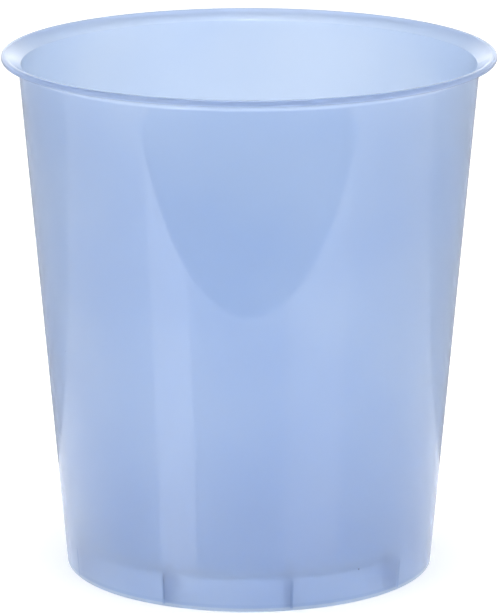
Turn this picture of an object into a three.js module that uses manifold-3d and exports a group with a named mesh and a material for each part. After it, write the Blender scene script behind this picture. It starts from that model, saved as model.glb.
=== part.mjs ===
// A round office wastebasket, moulded in one piece: a tapered wall that opens into a trumpet rim
// with a thick rounded lip, and a raised floor with short stiffening ribs in the recess under it.
// Millimetres, +Z up, the origin at the middle of the foot, on the surface that it stands on.

import * as THREE from 'three';
import { mergeVertices } from 'three/addons/utils/BufferGeometryUtils.js';
import Module from 'manifold-3d';

const wasm = await Module();
wasm.setup();

// Driving dimensions
const height = 330;
const rimRadius = 155;
const footRadius = 116.5;
const flareStartRadius = 144.2;
const flareStartHeight = 321;
const wallThickness = 1.6;
const skirtThickness = 2.4;
const footRounding = 0.8;

const lipThickness = 4;
const lipRounding = 1.6;
const creaseHeight = 323.6;
const flareLift = 3.2;
const flareLean = 0.32;
const crownDrop = 0.16;

const floorTop = 23;
const floorThickness = 2;
const floorFillet = 6;
const gateRadius = 4;
const gateDepth = 0.8;

const ribCount = 9;
const ribPhaseDegrees = 3;
const ribThickness = 1.8;
const ribFootReach = 9;
const ribFloorReach = 20;
const ribFootGap = 1.6;
const ribBurial = 0.9;

const sectorCount = 72;
const roundingSteps = 3;
const curveSteps = 4;

const plasticColour = new THREE.Color(0.62, 0.7, 0.88);

const floorUnderside = floorTop - floorThickness;

// Outside radius of the tapered wall at a height
function wallRadius(z) {
  return footRadius + ((flareStartRadius - footRadius) * z) / flareStartHeight;
}

// Points of an arc in the profile plane, from one angle to another in degrees
function arcPoints(centreRadius, centreHeight, radius, fromDegrees, toDegrees) {
  const points = [];
  for (let step = 0; step <= roundingSteps; step += 1) {
    const degrees = fromDegrees + ((toDegrees - fromDegrees) * step) / roundingSteps;
    const angle = THREE.MathUtils.degToRad(degrees);
    points.push(
      new THREE.Vector2(
        centreRadius + radius * Math.cos(angle),
        centreHeight + radius * Math.sin(angle),
      ),
    );
  }
  return points;
}

// Points of a smooth bend between two points, pulled towards a corner
function bendPoints(start, corner, end) {
  return new THREE.QuadraticBezierCurve(start, corner, end).getPoints(curveSteps);
}

// Underside: the gate mark, the raised floor and the inside of the skirt
function undersidePoints() {
  return [
    new THREE.Vector2(0, floorUnderside - gateDepth),
    new THREE.Vector2(gateRadius, floorUnderside - gateDepth),
    new THREE.Vector2(gateRadius + gateDepth, floorUnderside),
    new THREE.Vector2(wallRadius(floorUnderside) - skirtThickness, floorUnderside),
  ];
}

// The foot: a narrow flat ring with both of its edges rounded
function footPoints() {
  const inside = footRadius - skirtThickness + footRounding;
  const outside = footRadius - footRounding;
  return [
    ...arcPoints(inside, footRounding, footRounding, 180, 270),
    ...arcPoints(outside, footRounding, footRounding, 270, 360),
  ];
}

// Outside of the rim: the trumpet bend, then the lip's rounded edge
function rimOutsidePoints() {
  const lipUnderside = height - lipThickness;
  const bend = bendPoints(
    new THREE.Vector2(flareStartRadius, flareStartHeight),
    new THREE.Vector2(flareStartRadius + flareLean, flareStartHeight + flareLift),
    new THREE.Vector2(rimRadius - 2 * lipRounding, lipUnderside),
  );
  return [
    ...bend,
    ...arcPoints(rimRadius - lipRounding, lipUnderside + lipRounding, lipRounding, 270, 360),
    ...arcPoints(rimRadius - lipRounding, height - lipRounding, lipRounding, 0, 90),
  ];
}

// Inside of the rim: from the top of the lip down to the crease where the straight wall begins
function rimInsidePoints() {
  const creaseRadius = wallRadius(creaseHeight) - wallThickness;
  return bendPoints(
    new THREE.Vector2(rimRadius - 2 * lipRounding, height - crownDrop),
    new THREE.Vector2((rimRadius + creaseRadius) / 2 - lipRounding, creaseHeight + flareLift),
    new THREE.Vector2(creaseRadius, creaseHeight),
  );
}

// Inside of the wall's foot: the fillet into the floor, then the floor itself
function floorPoints() {
  const centreHeight = floorTop + floorFillet;
  const centreRadius = wallRadius(centreHeight) - wallThickness - floorFillet;
  return [
    ...arcPoints(centreRadius, centreHeight, floorFillet, 0, -90),
    new THREE.Vector2(0, floorTop),
  ];
}

// The turned shell, its profile running from under the floor, out over the rim and back inside
function shellGeometry() {
  const profile = [
    ...undersidePoints(),
    ...footPoints(),
    ...rimOutsidePoints(),
    ...rimInsidePoints(),
    ...floorPoints(),
  ];
  return new THREE.LatheGeometry(profile, sectorCount).rotateX(Math.PI / 2);
}

// One rib: a thin upright web, long against the floor and short at the foot
function ribGeometry(index) {
  const insideAtFoot = footRadius - skirtThickness;
  const insideAtFloor = wallRadius(floorUnderside) - skirtThickness;
  const outline = new THREE.Shape([
    new THREE.Vector2(insideAtFoot + ribBurial, ribFootGap),
    new THREE.Vector2(insideAtFloor + ribBurial, floorUnderside + ribBurial),
    new THREE.Vector2(insideAtFoot - ribFloorReach, floorUnderside + ribBurial),
    new THREE.Vector2(insideAtFoot - ribFloorReach, floorUnderside - ribBurial),
    new THREE.Vector2(insideAtFoot - ribFootReach, ribFootGap),
  ]);
  const web = new THREE.ExtrudeGeometry(outline, { depth: ribThickness, bevelEnabled: false });
  const degrees = ribPhaseDegrees + (index * 360) / ribCount;
  return web
    .translate(0, 0, -ribThickness / 2)
    .rotateX(Math.PI / 2)
    .rotateZ(THREE.MathUtils.degToRad(degrees));
}

// A closed geometry as a solid that can be joined to others
function solidOf(geometry) {
  const bare = geometry.clone();
  bare.deleteAttribute('normal');
  bare.deleteAttribute('uv');
  const merged = mergeVertices(bare);
  return new wasm.Manifold(
    new wasm.Mesh({
      numProp: 3,
      vertProperties: Float32Array.from(merged.attributes.position.array),
      triVerts: Uint32Array.from(merged.index.array),
    }),
  );
}

// A joined solid back as a geometry
function geometryOf(solid) {
  const mesh = solid.getMesh();
  const geometry = new THREE.BufferGeometry();
  geometry.setAttribute('position', new THREE.BufferAttribute(mesh.vertProperties, mesh.numProp));
  geometry.setIndex(new THREE.BufferAttribute(mesh.triVerts, 1));
  geometry.computeVertexNormals();
  return geometry;
}

function basketMesh() {
  let basket = solidOf(shellGeometry());
  for (let index = 0; index < ribCount; index += 1) {
    basket = basket.add(solidOf(ribGeometry(index)));
  }
  const plastic = new THREE.MeshStandardMaterial({
    color: plasticColour,
    roughness: 0.35,
    metalness: 0,
    transparent: true,
    opacity: 0.7,
  });
  const mesh = new THREE.Mesh(geometryOf(basket), plastic);
  mesh.name = 'basket';
  return mesh;
}

const wastebasket = new THREE.Group();
wastebasket.add(basketMesh());

export default wastebasket;
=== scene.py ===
import math

import bmesh
import bpy
from mathutils import Matrix, Vector


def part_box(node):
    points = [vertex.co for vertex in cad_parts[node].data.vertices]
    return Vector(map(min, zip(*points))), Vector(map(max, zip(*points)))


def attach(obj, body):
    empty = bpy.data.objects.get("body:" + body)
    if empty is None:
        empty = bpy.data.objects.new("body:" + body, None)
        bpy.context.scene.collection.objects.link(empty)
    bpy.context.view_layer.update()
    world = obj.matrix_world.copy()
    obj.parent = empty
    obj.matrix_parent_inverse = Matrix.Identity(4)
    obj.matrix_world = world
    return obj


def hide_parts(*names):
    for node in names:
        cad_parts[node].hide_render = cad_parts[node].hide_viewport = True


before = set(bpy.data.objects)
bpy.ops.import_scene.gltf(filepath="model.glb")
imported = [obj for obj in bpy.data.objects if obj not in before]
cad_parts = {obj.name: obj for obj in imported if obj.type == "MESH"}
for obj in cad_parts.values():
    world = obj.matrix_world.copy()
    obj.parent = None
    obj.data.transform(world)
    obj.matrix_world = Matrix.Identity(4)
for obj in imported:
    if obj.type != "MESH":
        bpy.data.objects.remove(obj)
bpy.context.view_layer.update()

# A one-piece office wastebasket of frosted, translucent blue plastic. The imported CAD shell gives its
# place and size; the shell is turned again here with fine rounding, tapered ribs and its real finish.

LOWEST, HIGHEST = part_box("basket")

# Sizes of the moulding, in metres
HEIGHT = HIGHEST.z - LOWEST.z
RIM_RADIUS = (HIGHEST.x - LOWEST.x) / 2
FOOT_RADIUS = 0.1165
FLARE_START_RADIUS = 0.1442
FLARE_START_HEIGHT = 0.321
WALL_THICKNESS = 0.0016
SKIRT_THICKNESS = 0.0024
FOOT_ROUNDING = 0.0008
LIP_THICKNESS = 0.004
LIP_ROUNDING = 0.0016
CREASE_HEIGHT = 0.3236
FLARE_LIFT = 0.0032
FLARE_LEAN = 0.00032
CROWN_DROP = 0.00016
FLOOR_TOP = 0.023
FLOOR_THICKNESS = 0.002
FLOOR_FILLET = 0.006
FLOOR_UNDERSIDE = FLOOR_TOP - FLOOR_THICKNESS
ROOT_FILLET = 0.0012
GATE_RADIUS = 0.004
GATE_DEPTH = 0.0008

# The stiffening ribs in the recess under the floor
RIB_COUNT = 9
RIB_PHASE = math.radians(3)
RIB_ROOT_THICKNESS = 0.0019
RIB_EDGE_THICKNESS = 0.0014
RIB_FOOT_REACH = 0.009
RIB_FLOOR_REACH = 0.020
RIB_FOOT_GAP = 0.0016
RIB_BURIAL = 0.0009

# How finely the shell is turned
SECTORS = 288
MERGE_DISTANCE = 1e-7
ARC_STEPS = 8
BEND_STEPS = 16
WALL_ROWS = 24
SMOOTH_ANGLE = math.radians(38)

# Where the photograph was taken from
CAMERA_DISTANCE = 2.742
CAMERA_HEIGHT = 0.8544
AIM_POINT = Vector((0.0006, 0.0, 0.1657))
SENSOR_WIDTH = 36.0
LENS = 320.8

# The strips of light that the glossy wall mirrors from the floor in front of it. Each lies between
# two directions around the wall, and all end at the same distance in front of the basket. Cards lie
# just above the floor, and dim towards the basket's foot, down to a share of their brightness there.
STRIP_OUTER = math.radians(27.5)
LEFT_STRIP_INNER = math.radians(16)
RIGHT_STRIP_INNER = math.radians(10.5)
STRIP_FRONT = 0.56
CARD_LIFT = 0.001
CARD_FADE_RADIUS = 0.2
CARD_FADE_SHARE = 0.3

# The dim cards in front of the strips and behind the basket: half their width, and where they end
CARD_HALF_WIDTH = 2.0
CARD_FAR_EDGE = 2.5
BACK_CARD_EDGE = 0.2
FLOOR_HALF_SIZE = 8.0

# The glow low down behind the basket: from front to back, and from its foot to where it has faded
GLOW_TURN = (-0.5, 0.5)
GLOW_FADE = (0.04, 0.55)
STUDIO_WHITE = (0.98, 0.99, 1.0)

# Soft boxes: name, place, what each points at, width, height and watts
SOFT_BOXES = (
    ("overhead", (0.0, 0.8, 2.8), (0.0, 0.8, 0.0), 6.0, 6.0, 29),
    ("key_left", (-1.5, -1.3, 0.9), (0.0, 0.0, HEIGHT / 2), 0.6, 1.2, 1.5),
    ("key_right", (1.5, -1.3, 0.9), (0.0, 0.0, HEIGHT / 2), 0.6, 1.2, 1.5),
    ("pool_left", (-0.6, -0.75, 0.3), (-0.1, -0.1, 0.0), 0.5, 0.3, 1.0),
    ("pool_right", (0.6, -0.75, 0.3), (0.1, -0.1, 0.0), 0.5, 0.3, 1.0),
    ("mouth_light", (0.0, -0.1, 2.6), (0.0, 0.0, 0.0), 1.2, 1.2, 30),
)

# Light passes through many thin walls here, so more bounces than usual are kept
MAX_BOUNCES = 32
DIFFUSE_BOUNCES = 16
TRANSMISSION_BOUNCES = 24

# Colours are scene-linear
PLASTIC_BLUE = (0.64, 0.755, 0.935)
DEEP_BLUE = (0.59, 0.715, 0.92)
# Painted shade: the lip's rounded outer edge is painted a deeper blue, for the darker look of light's
# long path through it
LIP_SHADE_BLUE = (0.38, 0.50, 0.77)
# Painted highlight: the pale band along the foot's lowest edge
FOOT_HIGHLIGHT_BLUE = (0.82, 0.90, 0.97)
# Painted shade: the deeper blue of the rib roots and of the thin line just over the foot
PAINTED_SHADE_BLUE = (0.42, 0.56, 0.78)
SPECK_GREY = (0.16, 0.17, 0.24)
FLOOR_WHITE = (0.93, 0.93, 0.935)
FLOOR_PALE = (0.915, 0.915, 0.92)

# The plastic's see-through share, its milky share, and the gloss of its skin
TRANSMISSION = 0.92
MILKINESS = 0.16
BODY_ROUGHNESS = (0.47, 0.52)
SKIN_WEIGHT = 0.85
SKIN_ROUGHNESS = 0.025
PLASTIC_IOR = 1.49

# Slow colour flow, faint ripple, fine grain and tiny specks: how often each repeats in a metre, how
# strongly and how deeply the bumps show, and how large a speck is against the room round it
FLOW_SCALE = 9.0
RIPPLE_SCALE = 40.0
RIPPLE_STRENGTH = 0.08
RIPPLE_DEPTH = 0.0006
GRAIN_SCALE = 1400.0
GRAIN_STRENGTH = 0.25
GRAIN_DEPTH = 0.00004
SPECK_SCALE = 24.0
SPECK_FADE = (0.018, 0.010)
MOTTLE_SCALE = 3.0

# How far each marking covers the colour under it
LIP_SHADE_SHARE = 0.9
FOOT_SHADE_LINE_SHARE = 0.35
FOOT_HIGHLIGHT_SHARE = 0.9
RIB_SHADE_SHARE = 0.8
SPECK_SHARE = 0.8

# Heights between which the foot's painted highlight, and the painted shade line just over it, fade in
FOOT_HIGHLIGHT_FADE = (0.0030, 0.0018)
FOOT_SHADE_LINE_FADE = (0.0054, 0.0036)

# Where the lip's painted shade fades in, and a rib root's painted shade: across it, at its top and at
# its foot
LIP_SHADE_FADE = (RIM_RADIUS - 1.6 * LIP_ROUNDING, RIM_RADIUS - 0.4 * LIP_ROUNDING)
RIB_SIDE_FADE = (0.62 * RIB_ROOT_THICKNESS, 0.38 * RIB_ROOT_THICKNESS)
RIB_TOP_FADE = (FLOOR_TOP, FLOOR_UNDERSIDE - 3 * RIB_FOOT_GAP)
RIB_FOOT_FADE = (0.7 * RIB_FOOT_GAP, 1.3 * RIB_FOOT_GAP)

# Parts of the noise's range over which the colour, the roughness and the floor's tone change
COLOUR_RANGE = (0.35, 0.65)
ROUGHNESS_RANGE = (0.3, 0.7)
MOTTLE_RANGE = (0.3, 0.7)

# Brightness of the studio and of the cards, where 1 is a fully lit white surface
BACK_LIGHT = 1.8
FRONT_LIGHT = 0.5
TOP_LIGHT = 0.3
TABLE_LIGHT = 0.47
UNDER_LIGHT = 0.25
LEFT_STRIP_LIGHT = 2.6
RIGHT_STRIP_LIGHT = 2.0
FAR_FLOOR_LIGHT = 0.1
BACK_FLOOR_LIGHT = 0.55


# ---------------------------------------------------------------- outline

def wall_radius(z):
    """Outside radius of the tapered wall at a height."""
    return FOOT_RADIUS + (FLARE_START_RADIUS - FOOT_RADIUS) * z / FLARE_START_HEIGHT


def arc(centre, radius, start_degrees, end_degrees):
    """Points (radius, height) of an arc in the outline."""
    points = []
    for step in range(ARC_STEPS + 1):
        degrees = start_degrees + (end_degrees - start_degrees) * step / ARC_STEPS
        angle = math.radians(degrees)
        points.append((centre[0] + radius * math.cos(angle), centre[1] + radius * math.sin(angle)))
    return points


def bend(start, corner, end):
    """Points of a smooth bend between two points, pulled towards a corner."""
    points = []
    for step in range(BEND_STEPS + 1):
        t = step / BEND_STEPS
        points.append(tuple(
            (1 - t) ** 2 * a + 2 * t * (1 - t) * b + t ** 2 * c
            for a, b, c in zip(start, corner, end)
        ))
    return points


def rows(start, end):
    """Points between two ends of a straight stretch, without the ends."""
    points = []
    for step in range(1, WALL_ROWS):
        t = step / WALL_ROWS
        points.append((start[0] + (end[0] - start[0]) * t, start[1] + (end[1] - start[1]) * t))
    return points


def underside_outline():
    """The gate mark, the raised floor seen from below and the fillet into the skirt."""
    skirt_inside = wall_radius(FLOOR_UNDERSIDE - ROOT_FILLET) - SKIRT_THICKNESS
    fillet_centre = (skirt_inside - ROOT_FILLET, FLOOR_UNDERSIDE - ROOT_FILLET)
    return [
        (0.0, FLOOR_UNDERSIDE - GATE_DEPTH),
        (GATE_RADIUS, FLOOR_UNDERSIDE - GATE_DEPTH),
        (GATE_RADIUS + GATE_DEPTH, FLOOR_UNDERSIDE),
        *arc(fillet_centre, ROOT_FILLET, 90, 0),
    ]


def foot_outline():
    """The narrow flat ring that the basket stands on, with both edges rounded."""
    inside = (FOOT_RADIUS - SKIRT_THICKNESS + FOOT_ROUNDING, FOOT_ROUNDING)
    outside = (FOOT_RADIUS - FOOT_ROUNDING, FOOT_ROUNDING)
    return arc(inside, FOOT_ROUNDING, 180, 270) + arc(outside, FOOT_ROUNDING, 270, 360)


def rim_outside_outline():
    """The trumpet bend under the rim, then the lip's rounded edge."""
    lip_underside = HEIGHT - LIP_THICKNESS
    trumpet = bend(
        (FLARE_START_RADIUS, FLARE_START_HEIGHT),
        (FLARE_START_RADIUS + FLARE_LEAN, FLARE_START_HEIGHT + FLARE_LIFT),
        (RIM_RADIUS - 2 * LIP_ROUNDING, lip_underside),
    )
    lower = (RIM_RADIUS - LIP_ROUNDING, lip_underside + LIP_ROUNDING)
    upper = (RIM_RADIUS - LIP_ROUNDING, HEIGHT - LIP_ROUNDING)
    return trumpet + arc(lower, LIP_ROUNDING, 270, 360) + arc(upper, LIP_ROUNDING, 0, 90)


def rim_inside_outline():
    """From the top of the lip down to the crease where the straight wall begins."""
    crease_radius = wall_radius(CREASE_HEIGHT) - WALL_THICKNESS
    return bend(
        (RIM_RADIUS - 2 * LIP_ROUNDING, HEIGHT - CROWN_DROP),
        ((RIM_RADIUS + crease_radius) / 2 - LIP_ROUNDING, CREASE_HEIGHT + FLARE_LIFT),
        (crease_radius, CREASE_HEIGHT),
    )


def floor_outline():
    """The fillet from the wall into the floor, then the floor out to the axis."""
    centre_height = FLOOR_TOP + FLOOR_FILLET
    centre_radius = wall_radius(centre_height) - WALL_THICKNESS - FLOOR_FILLET
    return arc((centre_radius, centre_height), FLOOR_FILLET, 0, -90) + [(0.0, FLOOR_TOP)]


def shell_outline():
    """The whole closed outline, from under the floor over the rim and back inside."""
    foot = foot_outline()
    rim_outside = rim_outside_outline()
    rim_inside = rim_inside_outline()
    floor = floor_outline()
    outline = underside_outline() + foot
    outline += rows(foot[-1], rim_outside[0]) + rim_outside
    outline += rim_inside + rows(rim_inside[-1], floor[0]) + floor
    return outline


# ---------------------------------------------------------------- meshes

def new_object(name, mesh_builder):
    """An object whose mesh comes from a bmesh."""
    mesh = bpy.data.meshes.new(name)
    mesh_builder.to_mesh(mesh)
    mesh_builder.free()
    piece = bpy.data.objects.new(name, mesh)
    bpy.context.scene.collection.objects.link(piece)
    return piece


def turned(name, outline):
    """A closed solid of revolution about the Z axis; the outline starts and ends on the axis."""
    bm = bmesh.new()
    rings = []
    for radius, height in outline:
        if radius == 0.0:
            rings.append([bm.verts.new((0.0, 0.0, height))])
            continue
        ring = []
        for sector in range(SECTORS):
            angle = 2 * math.pi * sector / SECTORS
            ring.append(bm.verts.new((radius * math.cos(angle), radius * math.sin(angle), height)))
        rings.append(ring)
    for lower, upper in zip(rings, rings[1:]):
        for sector in range(SECTORS):
            following = (sector + 1) % SECTORS
            corners = [lower[sector % len(lower)], lower[following % len(lower)]]
            corners += [upper[following % len(upper)], upper[sector % len(upper)]]
            bm.faces.new(dict.fromkeys(corners))
    bmesh.ops.remove_doubles(bm, verts=bm.verts, dist=MERGE_DISTANCE)
    bmesh.ops.recalc_face_normals(bm, faces=bm.faces)
    return new_object(name, bm)


def rib(index):
    """One rib: a thin upright web with draft, long against the floor and short at the foot."""
    skirt_inside = FOOT_RADIUS - SKIRT_THICKNESS
    root = FLOOR_UNDERSIDE + RIB_BURIAL
    outline = [
        (skirt_inside + RIB_BURIAL, RIB_FOOT_GAP),
        (wall_radius(FLOOR_UNDERSIDE) - SKIRT_THICKNESS + RIB_BURIAL, root),
        (skirt_inside - RIB_FLOOR_REACH, root),
        (skirt_inside - RIB_FLOOR_REACH, FLOOR_UNDERSIDE - RIB_BURIAL),
        (skirt_inside - RIB_FOOT_REACH, RIB_FOOT_GAP),
    ]
    bm = bmesh.new()
    sides = []
    for side in (-0.5, 0.5):
        ring = []
        for radius, height in outline:
            share = height / root
            thickness = RIB_EDGE_THICKNESS + (RIB_ROOT_THICKNESS - RIB_EDGE_THICKNESS) * share
            ring.append(bm.verts.new((radius, side * thickness, height)))
        sides.append(ring)
    bm.faces.new(sides[0])
    bm.faces.new(sides[1])
    for corner in range(len(outline)):
        following = (corner + 1) % len(outline)
        bm.faces.new((sides[0][corner], sides[0][following], sides[1][following], sides[1][corner]))
    bmesh.ops.recalc_face_normals(bm, faces=bm.faces)
    turn = RIB_PHASE + 2 * math.pi * index / RIB_COUNT
    bm.transform(Matrix.Rotation(turn, 4, "Z"))
    return new_object(f"rib_{index}", bm)


def join_to(piece, other):
    """Adds another solid to a piece and removes it from the scene."""
    union = piece.modifiers.new("join", "BOOLEAN")
    union.operation = "UNION"
    union.solver = "EXACT"
    union.object = other
    bpy.context.view_layer.update()
    depsgraph = bpy.context.evaluated_depsgraph_get()
    joined = bpy.data.meshes.new_from_object(piece.evaluated_get(depsgraph))
    piece.modifiers.clear()
    piece.data = joined
    bpy.data.objects.remove(other)


def make_basket():
    """The turned shell with all its ribs, as one closed solid."""
    basket = turned("wastebasket", shell_outline())
    for index in range(RIB_COUNT):
        join_to(basket, rib(index))
    basket.data.shade_smooth()
    basket.data.set_sharp_from_angle(angle=SMOOTH_ANGLE)
    return basket


# ---------------------------------------------------------------- materials

class Nodes:
    """A short way to write the node tree of a material or of the world."""

    def __init__(self, name, library=bpy.data.materials):
        self.owner = library.new(name)
        self.owner.use_nodes = True
        self.tree = self.owner.node_tree
        self.tree.nodes.clear()

    def add(self, kind, **values):
        """A node; values are its settings, or its inputs by name with spaces as underscores."""
        node = self.tree.nodes.new("ShaderNode" + kind)
        for key, value in values.items():
            label = key.replace("_", " ")
            if label in node.inputs:
                self.set(node.inputs[label], value)
            else:
                setattr(node, key, value)
        return node

    def set(self, socket, value):
        """Links an output to a socket, or sets the socket's own value."""
        if isinstance(value, bpy.types.NodeSocket):
            self.tree.links.new(value, socket)
        elif isinstance(value, tuple) and socket.type == "RGBA":
            socket.default_value = (*value, 1.0)
        else:
            socket.default_value = value

    def mix(self, share, first, second):
        """A blend of two colours."""
        node = self.tree.nodes.new("ShaderNodeMix")
        node.data_type = "RGBA"
        self.set(node.inputs[0], share)
        self.set(node.inputs[6], first)
        self.set(node.inputs[7], second)
        return node.outputs[2]

    def span(self, value, low, high, to_low=0.0, to_high=1.0):
        """A value carried smoothly from one span to another."""
        node = self.add("MapRange", interpolation_type="SMOOTHSTEP")
        self.set(node.inputs["Value"], value)
        node.inputs["From Min"].default_value = low
        node.inputs["From Max"].default_value = high
        node.inputs["To Min"].default_value = to_low
        node.inputs["To Max"].default_value = to_high
        return node.outputs["Result"]

    def from_axis(self, parts):
        """The distance of a place from the upright axis of the basket."""
        flat = self.add("CombineXYZ", X=parts.outputs["X"], Y=parts.outputs["Y"])
        length = self.add("VectorMath", operation="LENGTH")
        self.set(length.inputs[0], flat.outputs["Vector"])
        return length.outputs["Value"]

    def noise(self, where, scale, detail=2.0):
        node = self.add("TexNoise", Vector=where, Scale=scale, Detail=detail)
        return node.outputs["Fac"]


def rib_root_shade_mask(nodes, parts, radius):
    """One where a rib meets the skirt, where the plastic is thicker: painted shade, a deeper blue line
    over what the rib itself shows through the wall.
    """
    def math_node(operation, *values):
        node = nodes.add("Math", operation=operation)
        for socket, value in zip(node.inputs, values):
            nodes.set(socket, value)
        return node.outputs["Value"]

    spacing = 2 * math.pi / RIB_COUNT
    turn = math_node("ARCTAN2", parts.outputs["Y"], parts.outputs["X"])
    offset = math_node("SUBTRACT", turn, RIB_PHASE)
    from_rib = math_node("ABSOLUTE", math_node("WRAP", offset, spacing / 2, -spacing / 2))
    beside = math_node("MULTIPLY", from_rib, radius)
    near_rib = nodes.span(beside, *RIB_SIDE_FADE)
    below_floor = nodes.span(parts.outputs["Z"], *RIB_TOP_FADE)
    above_gap = nodes.span(parts.outputs["Z"], *RIB_FOOT_FADE)
    return math_node("MULTIPLY", near_rib, math_node("MULTIPLY", below_floor, above_gap))


def frosted_plastic():
    """Translucent polypropylene: a satin skin over a body that lets soft blue light through."""
    nodes = Nodes("frosted_plastic")
    place = nodes.add("TexCoord").outputs["Object"]
    parts = nodes.add("SeparateXYZ", Vector=place)
    height = parts.outputs["Z"]
    radius = nodes.from_axis(parts)

    flow = nodes.noise(place, FLOW_SCALE)
    grain = nodes.noise(place, GRAIN_SCALE)
    ripple = nodes.noise(place, RIPPLE_SCALE, 1.0)
    dust = nodes.add("TexVoronoi", Vector=place, Scale=SPECK_SCALE)

    # Painted shade on the lip's rounded outer edge
    painted_lip_shade = nodes.span(radius, *LIP_SHADE_FADE)
    # Painted highlight along the foot's lowest edge
    painted_foot_highlight = nodes.span(height, *FOOT_HIGHLIGHT_FADE)
    # Painted shade: a thin deeper-blue line just above the foot's painted highlight
    painted_foot_shade_line = nodes.span(height, *FOOT_SHADE_LINE_FADE)
    # Painted shade where each rib meets the skirt
    painted_rib_shade = rib_root_shade_mask(nodes, parts, radius)
    in_speck = nodes.span(dust.outputs["Distance"], *SPECK_FADE)
    colour = nodes.mix(nodes.span(flow, *COLOUR_RANGE), PLASTIC_BLUE, DEEP_BLUE)
    for mask, share, paint in (
        (painted_lip_shade, LIP_SHADE_SHARE, LIP_SHADE_BLUE),
        (painted_foot_shade_line, FOOT_SHADE_LINE_SHARE, PAINTED_SHADE_BLUE),
        (painted_foot_highlight, FOOT_HIGHLIGHT_SHARE, FOOT_HIGHLIGHT_BLUE),
        (painted_rib_shade, RIB_SHADE_SHARE, PAINTED_SHADE_BLUE),
        (in_speck, SPECK_SHARE, SPECK_GREY),
    ):
        colour = nodes.mix(nodes.span(mask, 0.0, 1.0, 0.0, share), colour, paint)

    coarse = nodes.add("Bump", Strength=RIPPLE_STRENGTH, Distance=RIPPLE_DEPTH, Height=ripple)
    fine = nodes.add("Bump", Strength=GRAIN_STRENGTH, Distance=GRAIN_DEPTH, Height=grain)
    nodes.set(fine.inputs["Normal"], coarse.outputs["Normal"])
    normal = fine.outputs["Normal"]

    skin = nodes.add("BsdfPrincipled", Base_Color=colour, IOR=PLASTIC_IOR, Normal=normal)
    skin.inputs["Transmission Weight"].default_value = TRANSMISSION
    skin.inputs["Coat Weight"].default_value = SKIN_WEIGHT
    skin.inputs["Coat Roughness"].default_value = SKIN_ROUGHNESS
    nodes.set(skin.inputs["Roughness"], nodes.span(flow, *ROUGHNESS_RANGE, *BODY_ROUGHNESS))
    body = nodes.add("BsdfTranslucent", Color=colour, Normal=normal)
    blend = nodes.add("MixShader")
    blend.inputs[0].default_value = MILKINESS
    nodes.set(blend.inputs[1], skin.outputs["BSDF"])
    nodes.set(blend.inputs[2], body.outputs["BSDF"])
    nodes.add("OutputMaterial", Surface=blend.outputs["Shader"])
    return nodes.owner


def floor_paint():
    """A white light table, which glows round the basket and less under it, and so hides its shadow."""
    nodes = Nodes("pale_floor")
    place = nodes.add("TexCoord").outputs["Object"]
    radius = nodes.from_axis(nodes.add("SeparateXYZ", Vector=place))
    glow = nodes.span(radius, FOOT_RADIUS - SKIRT_THICKNESS, FOOT_RADIUS, UNDER_LIGHT, TABLE_LIGHT)
    mottle = nodes.span(nodes.noise(place, MOTTLE_SCALE), *MOTTLE_RANGE)
    colour = nodes.mix(mottle, FLOOR_WHITE, FLOOR_PALE)
    paint = nodes.add("BsdfPrincipled", Base_Color=colour, Roughness=0.85)
    nodes.set(paint.inputs["Emission Color"], colour)
    nodes.set(paint.inputs["Emission Strength"], glow)
    nodes.add("OutputMaterial", Surface=paint.outputs["BSDF"])
    return nodes.owner


# ---------------------------------------------------------------- studio

def make_floor():
    """The plain pale floor that the basket stands on."""
    bm = bmesh.new()
    bmesh.ops.create_grid(bm, x_segments=8, y_segments=8, size=FLOOR_HALF_SIZE)
    floor = new_object("floor", bm)
    floor.location.z = LOWEST.z
    floor.data.materials.append(floor_paint())


def aim(thing, target):
    """Points a camera or light at a place."""
    thing.rotation_euler = (target - thing.location).to_track_quat("-Z", "Y").to_euler()


def make_camera():
    """The camera, at the photograph's angle."""
    data = bpy.data.cameras.new("camera")
    data.sensor_fit = "HORIZONTAL"
    data.sensor_width = SENSOR_WIDTH
    data.lens = LENS
    camera = bpy.data.objects.new("camera", data)
    bpy.context.scene.collection.objects.link(camera)
    camera.location = (0.0, -CAMERA_DISTANCE, CAMERA_HEIGHT)
    aim(camera, AIM_POINT)
    bpy.context.scene.camera = camera


def soft_box(name, place, target, width, height, watts):
    """A soft rectangular light, which the camera doesn't see."""
    data = bpy.data.lights.new(name, "AREA")
    data.shape = "RECTANGLE"
    data.size = width
    data.size_y = height
    data.energy = watts
    light = bpy.data.objects.new(name, data)
    bpy.context.scene.collection.objects.link(light)
    light.location = place
    aim(light, Vector(target))
    light.visible_camera = False


def make_world():
    """Soft light from all round, brightest from low down behind the basket."""
    nodes = Nodes("studio", bpy.data.worlds)
    parts = nodes.add("SeparateXYZ", Vector=nodes.add("TexCoord").outputs["Generated"])
    wall = nodes.span(parts.outputs["Y"], *GLOW_TURN, FRONT_LIGHT, BACK_LIGHT)
    climb = nodes.span(parts.outputs["Z"], *GLOW_FADE)
    strength = nodes.add("Mix")
    nodes.set(strength.inputs["Factor"], climb)
    nodes.set(strength.inputs["A"], wall)
    strength.inputs["B"].default_value = TOP_LIGHT
    background = nodes.add("Background", Color=STUDIO_WHITE, Strength=strength.outputs["Result"])
    nodes.add("OutputWorld", Surface=background.outputs["Background"])
    bpy.context.scene.world = nodes.owner


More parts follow.
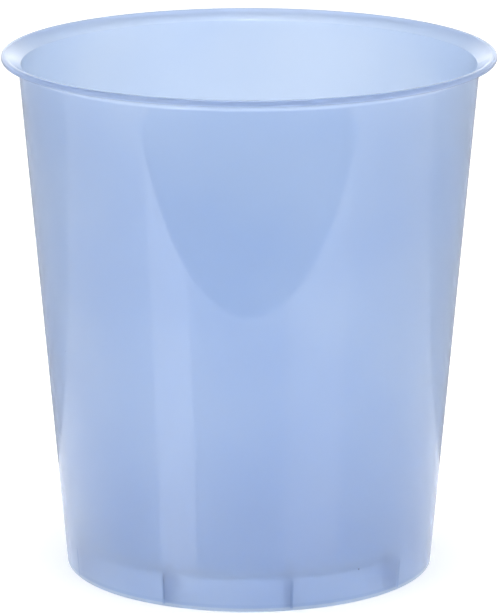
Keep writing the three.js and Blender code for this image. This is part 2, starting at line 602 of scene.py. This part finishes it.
def card(name, corners, strength):
    """A flat glowing card just above the floor, which only shows as a reflection."""
    bm = bmesh.new()
    bm.faces.new([bm.verts.new((x, y, LOWEST.z + CARD_LIFT)) for x, y in corners])
    sheet = new_object(name, bm)
    nodes = Nodes(name)
    place = nodes.add("TexCoord").outputs["Object"]
    radius = nodes.from_axis(nodes.add("SeparateXYZ", Vector=place))
    fade = nodes.span(radius, FOOT_RADIUS, CARD_FADE_RADIUS, CARD_FADE_SHARE * strength, strength)
    glow = nodes.add("Emission", Strength=fade)
    nodes.add("OutputMaterial", Surface=glow.outputs["Emission"])
    sheet.data.materials.append(nodes.owner)
    for kind in ("camera", "diffuse", "transmission", "shadow", "volume_scatter"):
        setattr(sheet, "visible_" + kind, False)


def mirrored_line(direction):
    """Two points on the floor that the wall mirrors as one upright line at a direction around it."""
    start = (FOOT_RADIUS * math.sin(direction), -FOOT_RADIUS * math.cos(direction))
    reach = (STRIP_FRONT + start[1]) / math.cos(2 * direction)
    return start, (start[0] + reach * math.sin(2 * direction), -STRIP_FRONT)


def make_cards():
    """Two bright strips in front of the basket, a dim floor beyond them and one behind it."""
    for name, inner, outer, strength in (
        ("strip_left", -LEFT_STRIP_INNER, -STRIP_OUTER, LEFT_STRIP_LIGHT),
        ("strip_right", RIGHT_STRIP_INNER, STRIP_OUTER, RIGHT_STRIP_LIGHT),
    ):
        near_inner, far_inner = mirrored_line(inner)
        near_outer, far_outer = mirrored_line(outer)
        card(name, (near_inner, far_inner, far_outer, near_outer), strength)
    for name, near, far, strength in (
        ("far_floor", -STRIP_FRONT, -CARD_FAR_EDGE, FAR_FLOOR_LIGHT),
        ("back_floor", BACK_CARD_EDGE, CARD_FAR_EDGE, BACK_FLOOR_LIGHT),
    ):
        left, right = -CARD_HALF_WIDTH, CARD_HALF_WIDTH
        card(name, ((left, near), (right, near), (right, far), (left, far)), strength)


def set_light_paths():
    cycles = bpy.context.scene.cycles
    cycles.max_bounces = MAX_BOUNCES
    cycles.diffuse_bounces = DIFFUSE_BOUNCES
    cycles.transmission_bounces = TRANSMISSION_BOUNCES


bpy.context.scene.view_settings.view_transform = "Standard"
set_light_paths()
make_camera()
make_world()
for soft_box_facts in SOFT_BOXES:
    soft_box(*soft_box_facts)
make_floor()
make_cards()

basket = make_basket()
basket.data.materials.clear()
basket.data.materials.append(frosted_plastic())
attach(basket, "root")
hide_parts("basket")
